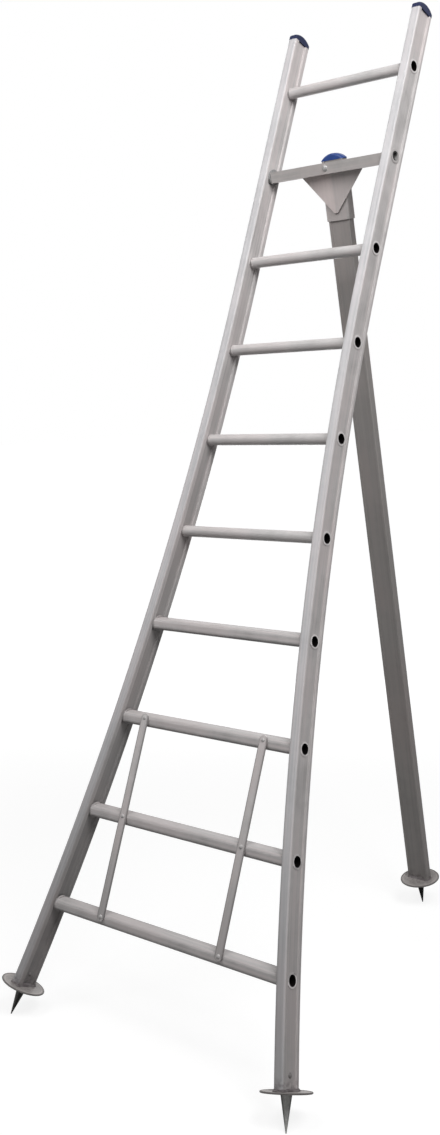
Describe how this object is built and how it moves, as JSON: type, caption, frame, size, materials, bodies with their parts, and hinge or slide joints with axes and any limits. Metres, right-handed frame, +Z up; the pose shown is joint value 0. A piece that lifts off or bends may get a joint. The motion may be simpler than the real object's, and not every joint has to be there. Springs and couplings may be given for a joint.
{
  "type": "tripod orchard ladder",
  "caption": "Tripod orchard ladder with outward-curved stiles, tube rungs, spiked foot plates and a rear pole that folds on a pivot tube through the stiles.",
  "frame": {"origin": "middle of the footprint at ground level: the three spike tips touch z = 0", "axes": "+Z up, +X across the ladder to the climber's right, +Y from the rungs towards the rear pole"},
  "size_m": [1.0938, 1.4696, 2.8392],
  "materials": {
    "stile_aluminium": "mill finish extrusion, satin",
    "rung_aluminium": "mill finish tube, satin",
    "pole_aluminium": "mill finish, dull satin",
    "plate_steel": "zinc plated, dull",
    "dark_steel": "dark, slightly shiny",
    "fastener_steel": "zinc plated, bright",
    "grey_plastic": "matt moulded plastic",
    "navy_plastic": "satin moulded plastic",
    "blue_plastic": "satin moulded plastic"
  },
  "bodies": {
    "ladder": {"left_stile": "stile_aluminium", "right_stile": "stile_aluminium", "rung_1": "rung_aluminium", "rung_3": "rung_aluminium", "rung_4": "rung_aluminium", "rung_5": "rung_aluminium", "rung_6": "rung_aluminium", "rung_7": "rung_aluminium", "rung_8": "rung_aluminium", "rung_9": "rung_aluminium", "rung_10": "rung_aluminium", "left_pivot_bush": "grey_plastic", "right_pivot_bush": "grey_plastic", "left_pivot_washer": "grey_plastic", "right_pivot_washer": "grey_plastic", "left_stile_cap": "navy_plastic", "right_stile_cap": "navy_plastic", "left_strap": "stile_aluminium", "right_strap": "stile_aluminium", "strap_rivets": "fastener_steel", "left_foot_disc": "plate_steel", "right_foot_disc": "plate_steel", "left_spike": "dark_steel", "right_spike": "dark_steel", "left_foot_plug": "grey_plastic", "right_foot_plug": "grey_plastic", "foot_rivets": "fastener_steel"},
    "pole": {"pivot_tube": "pole_aluminium", "crossbar": "pole_aluminium", "crossbar_bolt": "fastener_steel", "bracket_sleeve": "pole_aluminium", "bracket_gusset": "pole_aluminium", "pole": "pole_aluminium", "pole_cap": "blue_plastic", "pole_foot_disc": "plate_steel", "pole_spike": "dark_steel", "pole_foot_plug": "grey_plastic", "pole_foot_rivet": "fastener_steel"}
  },
  "joints": [
    {"name": "pole_fold", "type": "hinge", "parent": "ladder", "child": "pole", "pos_m": [0, 0.25525, 2.39519], "axis": [-1, 0, 0], "range_deg": [0, 31]}
  ]
}
